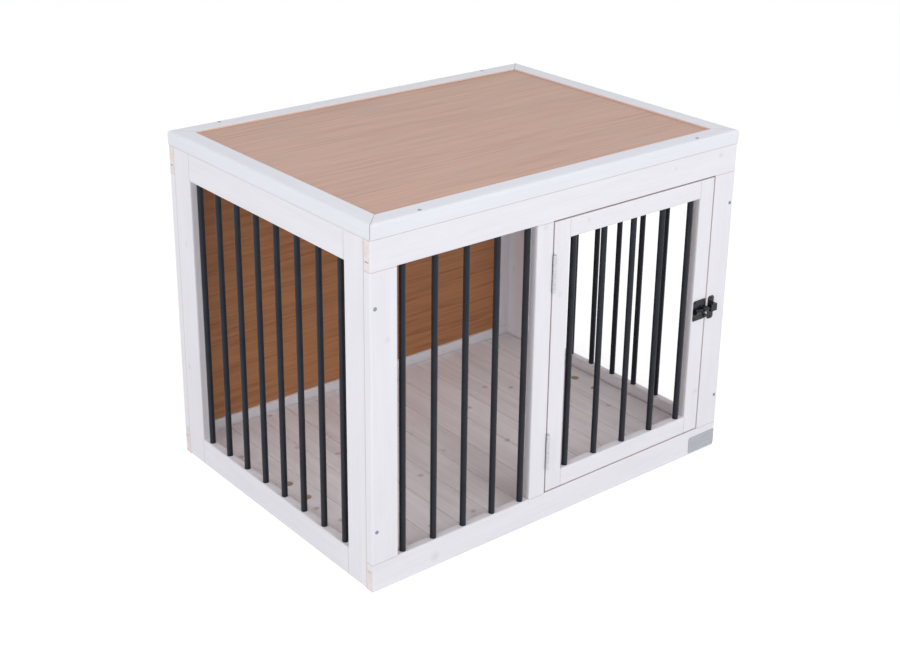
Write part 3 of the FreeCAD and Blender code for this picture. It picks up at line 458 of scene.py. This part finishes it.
class CRATE_OT_back_panel(bpy.types.Operator):
    """Finish the plywood back"""

    bl_idname = "crate.back_panel"
    bl_label = "Plywood back"

    def execute(self, context):
        look = context.scene.crate_finish
        # Rotary-cut plywood, oiled: wide wavy figure along the board with darker late wood.
        material, place = new_material("rotary-cut plywood, oiled")
        streak = grain(material, place, "X", 9, 260, detail=4, distortion=1.1)
        broad = grain(material, place, "X", 45, 260, detail=2, seed=3.0, distortion=1.2)
        fine = grain(material, place, "X", 2.2, 60, detail=2, seed=6.0)
        tone = look.plywood
        for pattern, start, end, strength, shade in ((streak, 0.4, 0.68, 1.0, look.plywood_dark),
                                                     (broad, 0.42, 0.62, 0.5, look.plywood),
                                                     (fine, 0.52, 0.75, 0.3, look.plywood_dark)):
            share = add(material, "MapRange", pattern, start, end, 0, strength)
            tone = add(material, "Mix", share, tone, shade, data_type="RGBA")
        relief = add(material, "Bump", Strength=0.2, Distance=0.08 * MM, Height=fine)
        dress(["back_panel"], finish(material, Base_Color=tone, Roughness=0.6, Normal=relief, IOR=1.48))
        return {"FINISHED"}


class CRATE_OT_floor(bpy.types.Operator):
    """Finish the boards, the battens and the cleats of the lift-out floor"""

    bl_idname = "crate.floor"
    bl_label = "Floor"

    def execute(self, context):
        look = context.scene.crate_finish
        boards = [f"floor_board_{i:02d}" for i in range(1, 13)]
        low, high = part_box(boards[0])[0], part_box(boards[-1])[1]
        pitch = (high.x - low.x) / len(boards)
        # Tongued and grooved softwood, white-washed: each board has its own grain, and bare wood in its V-joints.
        material, place = new_material("white-washed softwood boards")
        x = add(material, "SeparateXYZ", place)
        turn = add(material, "Math", add(material, "Math", x, low.x, operation="SUBTRACT"), pitch,
                   operation="DIVIDE")
        seed = add(material, "Math", add(material, "Math", turn, operation="FLOOR"), 3.7, operation="MULTIPLY")
        other_seed = add(material, "Math", seed, 9.0, operation="ADD")
        rings = grain(material, place, "Y", 4.5, 200, detail=3, distortion=0.9, seed=seed)
        cloud = grain(material, place, "Y", 30, 260, detail=2, seed=other_seed)
        knot = add(material, "Math", knots(material, place, "Z", 120, 8), 0.55, operation="MULTIPLY")
        tone = look.floor
        for share in (add(material, "MapRange", rings, 0.42, 0.7, 0, 0.15),
                      add(material, "MapRange", cloud, 0.4, 0.75, 0, 0.2), knot):
            tone = add(material, "Mix", share, tone, look.floor_dark, data_type="RGBA")
        across = add(material, "Math", add(material, "Math", turn, operation="FRACT"), 0.5, operation="SUBTRACT")
        across = add(material, "Math", across, operation="ABSOLUTE")
        joint = add(material, "MapRange", across, 0.5 - 1.1 * MM / pitch, 0.5 - 0.5 * MM / pitch, 0, 0.35)
        tone = add(material, "Mix", joint, tone, look.floor_joint, data_type="RGBA")
        # The finger holes are bored through the white-wash into bare wood.
        hole = boxes(material, place, [span(x=around(x, FINGER_HOLE_RADIUS_MM), y=around(y, FINGER_HOLE_RADIUS_MM),
                                            z=(0, high.z - 0.4 * MM)) for x, y in FINGER_HOLES])
        tone = add(material, "Mix", hole, tone, look.batten, data_type="RGBA")
        relief = add(material, "Bump", Strength=0.25, Distance=0.12 * MM, Height=rings)
        dress(boards, finish(material, Base_Color=tone, Roughness=0.6, Normal=relief, IOR=1.48))

        # Battens and cleats are planed softwood left bare.
        material, place = new_material("planed softwood, bare")
        rings = grain(material, place, "X", 4, 260, detail=3, distortion=0.4)
        tone = add(material, "Mix", add(material, "MapRange", rings, 0.4, 0.7, 0, 0.5), look.batten,
                   scaled(look.batten, 0.7), data_type="RGBA")
        relief = add(material, "Bump", Strength=0.3, Distance=0.12 * MM, Height=rings)
        dress(["floor_front_batten", "floor_back_batten", "front_floor_cleat", "back_floor_cleat"],
              finish(material, Base_Color=tone, Roughness=0.65, Normal=relief, IOR=1.48))
        return {"FINISHED"}


class CRATE_OT_bars(bpy.types.Operator):
    """Powder coat the bars"""

    bl_idname = "crate.bars"
    bl_label = "Bars"

    def execute(self, context):
        look = context.scene.crate_finish
        # Round steel under a satin black powder coat, which has a fine orange-peel texture.
        material, place = new_material("steel bar, satin black powder coat")
        peel = add(material, "TexNoise", Vector=place, Scale=1 / (1.6 * MM), Detail=2.0)
        smear = add(material, "TexNoise", Vector=place, Scale=1 / (40 * MM), Detail=3.0)
        tone = add(material, "Mix", add(material, "MapRange", smear, 0.4, 0.7), look.bar, scaled(look.bar, 0.72),
                   data_type="RGBA")
        relief = add(material, "Bump", Strength=0.25, Distance=0.1 * MM, Height=peel)
        dress(["front_bars", "left_bars", "right_bars", "door_bars"],
              finish(material, Base_Color=tone, Roughness=add(material, "MapRange", smear, 0.3, 0.7, 0.34, 0.46),
                     Normal=relief, Specular_IOR_Level=0.25))
        return {"FINISHED"}


# ---------------------------------------------------------------------------------------------------------------
# Screws, hinges and bolt
# ---------------------------------------------------------------------------------------------------------------

def piece(name, work):
    """Makes an object of a bmesh, with its normals outward."""
    bmesh.ops.recalc_face_normals(work, faces=work.faces)
    mesh = bpy.data.meshes.new(name)
    work.to_mesh(mesh)
    work.free()
    made = bpy.data.objects.new(name, mesh)
    bpy.context.scene.collection.objects.link(made)
    return made


HEAD_SUNK = 0.3 * MM
LEAF_HEAD_PROUD, LEAF_HEAD_RECESS = 0.07 * MM, 0.25 * MM
BOLT_HEAD_PROUD, BOLT_HEAD_RECESS = 0.7 * MM, 0.5 * MM


def cross_heads(name, places, radius, proud, recess):
    """Round screw heads with a cross recess, as one piece.

    places are (point, outward direction) pairs; a head stands proud of the surface by proud and reaches into it.
    """
    work = bmesh.new()
    tall = proud + HEAD_SUNK
    # Half the length and half the width of the cross, and the height over which only the flat of the head lies.
    arm, slot, level = 0.58 * radius, 0.15 * radius, proud - 0.01 * MM
    bmesh.ops.create_cone(work, cap_ends=True, cap_tris=False, segments=24, radius1=radius, radius2=radius,
                          depth=tall, matrix=Matrix.Translation((0, 0, proud - tall / 2)))
    rim = [e for e in work.edges if all(v.co.z > level for v in e.verts)]
    bmesh.ops.bevel(work, geom=rim, offset=min(0.45 * proud, 0.2 * MM), segments=2, profile=0.5, material=-1,
                    affect="EDGES")
    for axis in (Vector((1, 0, 0)), Vector((0, 1, 0))):
        for offset in (-arm, -slot, slot, arm):
            flat = [f for f in work.faces if all(v.co.z > level for v in f.verts)]
            around_flat = {v for f in flat for v in f.verts} | {e for f in flat for e in f.edges} | set(flat)
            bmesh.ops.bisect_plane(work, geom=list(around_flat), plane_co=axis * offset, plane_no=axis, dist=1e-7)
    cross = []
    for f in work.faces:
        c = f.calc_center_median()
        if c.z > level and max(abs(c.x), abs(c.y)) < arm and min(abs(c.x), abs(c.y)) < slot:
            cross.append(f)
    work.normal_update()
    bmesh.ops.inset_region(work, faces=cross, thickness=0.04 * radius, depth=-recess, use_even_offset=True)
    pattern = list(work.verts) + list(work.edges) + list(work.faces)
    for index, (point, outward) in enumerate(places):
        copy = bmesh.ops.duplicate(work, geom=pattern)["geom"]
        turn = Vector((0, 0, 1)).rotation_difference(Vector(outward)).to_matrix().to_4x4()
        # Each screw was driven home to another angle.
        spin = Matrix.Rotation(math.radians(23 + 37 * index), 4, "Z")
        bmesh.ops.transform(work, matrix=Matrix.Translation(point) @ turn @ spin,
                            verts=[v for v in copy if isinstance(v, bmesh.types.BMVert)])
    bmesh.ops.delete(work, geom=[v for v in pattern if isinstance(v, bmesh.types.BMVert)], context="VERTS")
    return piece(name, work)


def zinc_plate(name, base):
    """Steel plated with zinc: a cold grey metal with a faint cloudy bloom."""
    material = bpy.data.materials.get(name)
    if material:
        return material
    material, place = new_material(name)
    bloom = add(material, "TexNoise", Vector=place, Scale=1 / (5 * MM), Detail=3.0)
    tone = add(material, "Mix", add(material, "MapRange", bloom, 0.35, 0.7), base, scaled(base, 0.78),
               data_type="RGBA")
    relief = add(material, "Bump", Strength=0.15, Distance=0.05 * MM, Height=bloom)
    return finish(material, Base_Color=tone, Metallic=1.0,
                  Roughness=add(material, "MapRange", bloom, 0.3, 0.7, 0.3, 0.44), Normal=relief)


def black_enamel():
    """Iron under thick glossy black enamel with a hammered texture."""
    name = "iron, hammered black enamel"
    material = bpy.data.materials.get(name)
    if material:
        return material
    look = bpy.context.scene.crate_finish
    material, place = new_material(name)
    dents = add(material, "TexVoronoi", feature="SMOOTH_F1", Vector=place, Scale=1 / (1.7 * MM), Smoothness=0.8)
    film = add(material, "TexNoise", Vector=place, Scale=1 / (6 * MM), Detail=2.0)
    # Small light specks on the tops of the hammered film are painted highlight, standing in for the glints of light
    # that they catch.
    speck = add(material, "TexNoise", Vector=place, Scale=1 / (2.2 * MM), Detail=2.0)
    tone = add(material, "Mix", film, look.enamel, scaled(look.enamel, 2), data_type="RGBA")
    tone = add(material, "Mix", add(material, "MapRange", speck, 0.56, 0.7, 0, 0.7), tone, look.enamel_glint,
               data_type="RGBA")
    relief = add(material, "Bump", Strength=0.7, Distance=0.35 * MM, Height=dents)
    return finish(material, Base_Color=tone, Roughness=add(material, "MapRange", film, 0.3, 0.7, 0.16, 0.3),
                  Normal=relief, Specular_IOR_Level=0.32)


class CRATE_OT_hinges(bpy.types.Operator):
    """Finish the hinges and give their leaves screws"""

    bl_idname = "crate.hinges"
    bl_label = "Hinges"

    def execute(self, context):
        sizes, look = context.scene.crate_fittings, context.scene.crate_finish
        leaves = {"frame": ["upper_hinge_frame_leaf", "lower_hinge_frame_leaf"],
                  "door": ["upper_hinge_door_leaf", "lower_hinge_door_leaf"]}
        zinc = zinc_plate("steel, zinc plated", look.zinc)
        dress(leaves["frame"] + leaves["door"] + ["hinge_pins"], zinc)
        # Three countersunk screws hold each leaf, and almost fill the gap that the two leaves share.
        for body, x, outward in (("frame", MIDDLE_HIGH + sizes.leaf_thick, (1, 0, 0)),
                                 ("door", DOOR_LOW.x - sizes.leaf_thick, (-1, 0, 0))):
            places = []
            for leaf in leaves[body]:
                low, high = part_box(leaf)
                for deep, z in ((sizes.leaf_screw_deep, low.z + sizes.leaf_screw_end),
                                (sizes.leaf_screw_shallow, (low.z + high.z) / 2),
                                (sizes.leaf_screw_deep, high.z - sizes.leaf_screw_end)):
                    places.append(((x, FRONT + deep, z), outward))
            made = cross_heads(f"{body}_leaf_screws", places, sizes.small_head / 2, LEAF_HEAD_PROUD,
                               LEAF_HEAD_RECESS)
            made.data.materials.append(zinc)
            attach(made, body)
        return {"FINISHED"}


class CRATE_OT_bolt(bpy.types.Operator):
    """Finish the barrel bolt and give its plate and keeper screws"""

    bl_idname = "crate.bolt"
    bl_label = "Barrel bolt"

    def execute(self, context):
        sizes = context.scene.crate_fittings
        dress(["bolt_plate", "sliding_bolt", "bolt_keeper"], black_enamel())
        inset = sizes.bolt_screw_inset
        # The plate has a screw at each corner, the keeper one above and one below its loop.
        for carrier, body, corners in (("bolt_plate", "door", True), ("bolt_keeper", "frame", False)):
            low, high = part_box(carrier)
            face = FRONT - sizes.bolt_plate_thick
            xs = (low.x + inset, high.x - inset) if corners else ((low.x + high.x) / 2,)
            places = [((x, face, z), (0, -1, 0)) for x in xs for z in (low.z + inset, high.z - inset)]
            made = cross_heads(f"{carrier}_screws", places, sizes.small_head / 2, BOLT_HEAD_PROUD,
                               BOLT_HEAD_RECESS)
            made.data.materials.append(black_enamel())
            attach(made, body)
        return {"FINISHED"}


class CRATE_OT_wood_screws(bpy.types.Operator):
    """Add the countersunk screws of the front, the back and the table top"""

    bl_idname = "crate.wood_screws"
    bl_label = "Wood screws"

    def execute(self, context):
        sizes, look = context.scene.crate_fittings, context.scene.crate_finish
        x = SIDE - sizes.screw_inset
        heights = (sizes.screw_low, sizes.screw_high)
        top_ys = (TOP_LOW.y + sizes.top_screw_inset, TOP_HIGH.y - sizes.top_screw_inset)
        groups = {
            "front_screws": [((side * x, FRONT, z), (0, -1, 0)) for side in (-1, 1) for z in heights],
            "back_screws": [((side * x, REAR, z), (0, 1, 0)) for side in (-1, 1) for z in heights],
            "top_screws": [((side * sizes.top_screw_out, y, TABLE), (0, 0, 1)) for side in (-1, 1) for y in top_ys],
        }
        for name, places in groups.items():
            made = cross_heads(name, places, sizes.screw_head / 2, sizes.screw_proud, sizes.screw_proud * 0.8)
            made.data.materials.append(zinc_plate("steel screw, blue zinc plated", look.screw))
            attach(made, "frame")
        return {"FINISHED"}


class CRATE_OT_bare_plate(bpy.types.Operator):
    """Add the bare plate on the lower right of the front"""

    bl_idname = "crate.bare_plate"
    bl_label = "Bare plate"

    def execute(self, context):
        sizes, look = context.scene.crate_fittings, context.scene.crate_finish
        work = bmesh.new()
        made = bmesh.ops.create_cube(work, size=1)
        bmesh.ops.scale(work, verts=made["verts"],
                        vec=(sizes.plate_width, sizes.plate_thick, sizes.plate_height))
        bmesh.ops.translate(work, verts=made["verts"], vec=(
            SIDE - sizes.plate_inset - sizes.plate_width / 2, FRONT - sizes.plate_thick / 2,
            sizes.plate_lift + sizes.plate_height / 2))
        corners = [e for e in work.edges if abs(e.verts[0].co.y - e.verts[1].co.y) > sizes.plate_thick / 2]
        bmesh.ops.bevel(work, geom=corners, offset=sizes.plate_corner, segments=6, profile=0.5, material=-1,
                        affect="EDGES")
        rim = [e for e in work.edges if all(v.co.y < FRONT - sizes.plate_thick * 0.9 for v in e.verts)]
        bmesh.ops.bevel(work, geom=rim, offset=0.25 * MM, segments=2, profile=0.5, material=-1, affect="EDGES")
        plate = piece("bare_plate", work)
        # Thin aluminium, brushed along its length: soft grey with long fine scratches.
        material, place = new_material("aluminium, brushed")
        lines = grain(material, place, "X", 0.8, 45, detail=2)
        tone = add(material, "Mix", add(material, "MapRange", lines, 0.35, 0.7), look.plate,
                   scaled(look.plate, 0.8), data_type="RGBA")
        relief = add(material, "Bump", Strength=0.2, Distance=0.03 * MM, Height=lines)
        plate.data.materials.append(finish(
            material, Base_Color=tone, Metallic=1.0,
            Roughness=add(material, "MapRange", lines, 0.3, 0.7, 0.36, 0.5), Normal=relief))
        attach(plate, "frame")
        return {"FINISHED"}


# ---------------------------------------------------------------------------------------------------------------
# Studio
# ---------------------------------------------------------------------------------------------------------------

CAMERA_PLACE = (-1.78088, -2.17139, 1.54542)
CAMERA_YAW, CAMERA_PITCH, CAMERA_ROLL = 39.078, 21.062, 0.641
CAMERA_LENS, CAMERA_SHIFT = 59.785, -80 / 900


def seen(owner):
    """1 for what the camera sees, straight or in metal and glass, and 0 for light that falls on things."""
    ray = add(owner, "LightPath").node
    return largest(owner, [ray.outputs[f"Is {kind} Ray"] for kind in ("Camera", "Glossy", "Transmission")])


class CRATE_OT_studio(bpy.types.Operator):
    """Set up the ground, the light and the camera"""

    bl_idname = "crate.studio"
    bl_label = "Studio"

    def execute(self, context):
        studio, scene = context.scene.crate_studio, context.scene
        scene.view_settings.view_transform = "Standard"

        work = bmesh.new()
        bmesh.ops.create_grid(work, x_segments=1, y_segments=1, size=15)
        ground = piece("ground", work)
        material, place = new_material("pale studio floor")
        speck = add(material, "TexNoise", Vector=place, Scale=4.0, Detail=3.0)
        tone = add(material, "Mix", add(material, "MapRange", speck, 0.3, 0.7, 0, 0.3), studio.ground,
                   (0.86, 0.86, 0.87), data_type="RGBA")
        glow = add(material, "Math", seen(material), studio.glow, operation="MULTIPLY")
        add(material, "OutputMaterial", add(material, "AddShader", add(material, "BsdfDiffuse", Color=tone),
                                            add(material, "Emission", Color=(1, 1, 1), Strength=glow)))
        ground.data.materials.append(material)

        world = bpy.data.worlds.new("soft white room")
        scene.world = world
        world.use_nodes = True
        world.node_tree.nodes.clear()
        strength = add(world, "MapRange", seen(world), 0.0, 1.0, studio.sky, 1.0)
        add(world, "OutputWorld", add(world, "Background", Color=(1, 1, 1), Strength=strength))

        for name, place, width, height, power in (("key lamp", (0.4, -3.0, 2.1), 2.6, 2.2, studio.key),
                                                  ("left lamp", (-3.0, -0.6, 1.9), 2.0, 2.0, studio.fill)):
            lamp = bpy.data.lights.new(name, "AREA")
            lamp.shape, lamp.size, lamp.size_y, lamp.energy = "RECTANGLE", width, height, power
            holder = bpy.data.objects.new(name, lamp)
            holder.location = place
            holder.rotation_euler = (Vector((0, 0, 0.3)) - holder.location).to_track_quat("-Z", "Y").to_euler()
            scene.collection.objects.link(holder)

        lens = bpy.data.cameras.new("camera")
        lens.sensor_width, lens.lens, lens.shift_x, lens.shift_y = 36, CAMERA_LENS, 0, CAMERA_SHIFT
        lens.clip_start, lens.clip_end = 0.05, 60
        camera = bpy.data.objects.new("camera", lens)
        turn = (Matrix.Rotation(math.radians(-CAMERA_YAW), 4, "Z")
                @ Matrix.Rotation(math.radians(90 - CAMERA_PITCH), 4, "X")
                @ Matrix.Rotation(math.radians(CAMERA_ROLL), 4, "Z"))
        camera.matrix_world = Matrix.Translation(CAMERA_PLACE) @ turn
        scene.collection.objects.link(camera)
        scene.camera = camera
        return {"FINISHED"}


# ---------------------------------------------------------------------------------------------------------------
# Add-on
# ---------------------------------------------------------------------------------------------------------------

OPERATORS = (CRATE_OT_studio, CRATE_OT_frames, CRATE_OT_table_top, CRATE_OT_back_panel, CRATE_OT_floor,
             CRATE_OT_bars, CRATE_OT_hinges, CRATE_OT_bolt, CRATE_OT_wood_screws, CRATE_OT_bare_plate)


class CRATE_PT_panel(bpy.types.Panel):
    """Lists the steps that dress the crate"""

    bl_idname = "CRATE_PT_panel"
    bl_label = "Dog Crate End Table"
    bl_space_type = "VIEW_3D"
    bl_region_type = "UI"
    bl_category = "Dog Crate"

    def draw(self, context):
        for group in (context.scene.crate_finish, context.scene.crate_fittings, context.scene.crate_studio):
            box = self.layout.box()
            for key in group.__annotations__:
                box.prop(group, key)
        for operator in OPERATORS:
            self.layout.operator(operator.bl_idname)


GROUPS = {"crate_finish": CrateFinish, "crate_fittings": CrateFittings, "crate_studio": CrateStudio}


def register():
    for cls in (*GROUPS.values(), *OPERATORS, CRATE_PT_panel):
        bpy.utils.register_class(cls)
    for key, cls in GROUPS.items():
        setattr(bpy.types.Scene, key, bpy.props.PointerProperty(type=cls))


def unregister():
    for key in GROUPS:
        delattr(bpy.types.Scene, key)
    for cls in (CRATE_PT_panel, *reversed(OPERATORS), *reversed(GROUPS.values())):
        bpy.utils.unregister_class(cls)


def main():
    """Dresses the crate."""
    register()
    for operator in OPERATORS:
        group, name = operator.bl_idname.split(".")
        getattr(getattr(bpy.ops, group), name)()


if __name__ == "__main__":
    main()
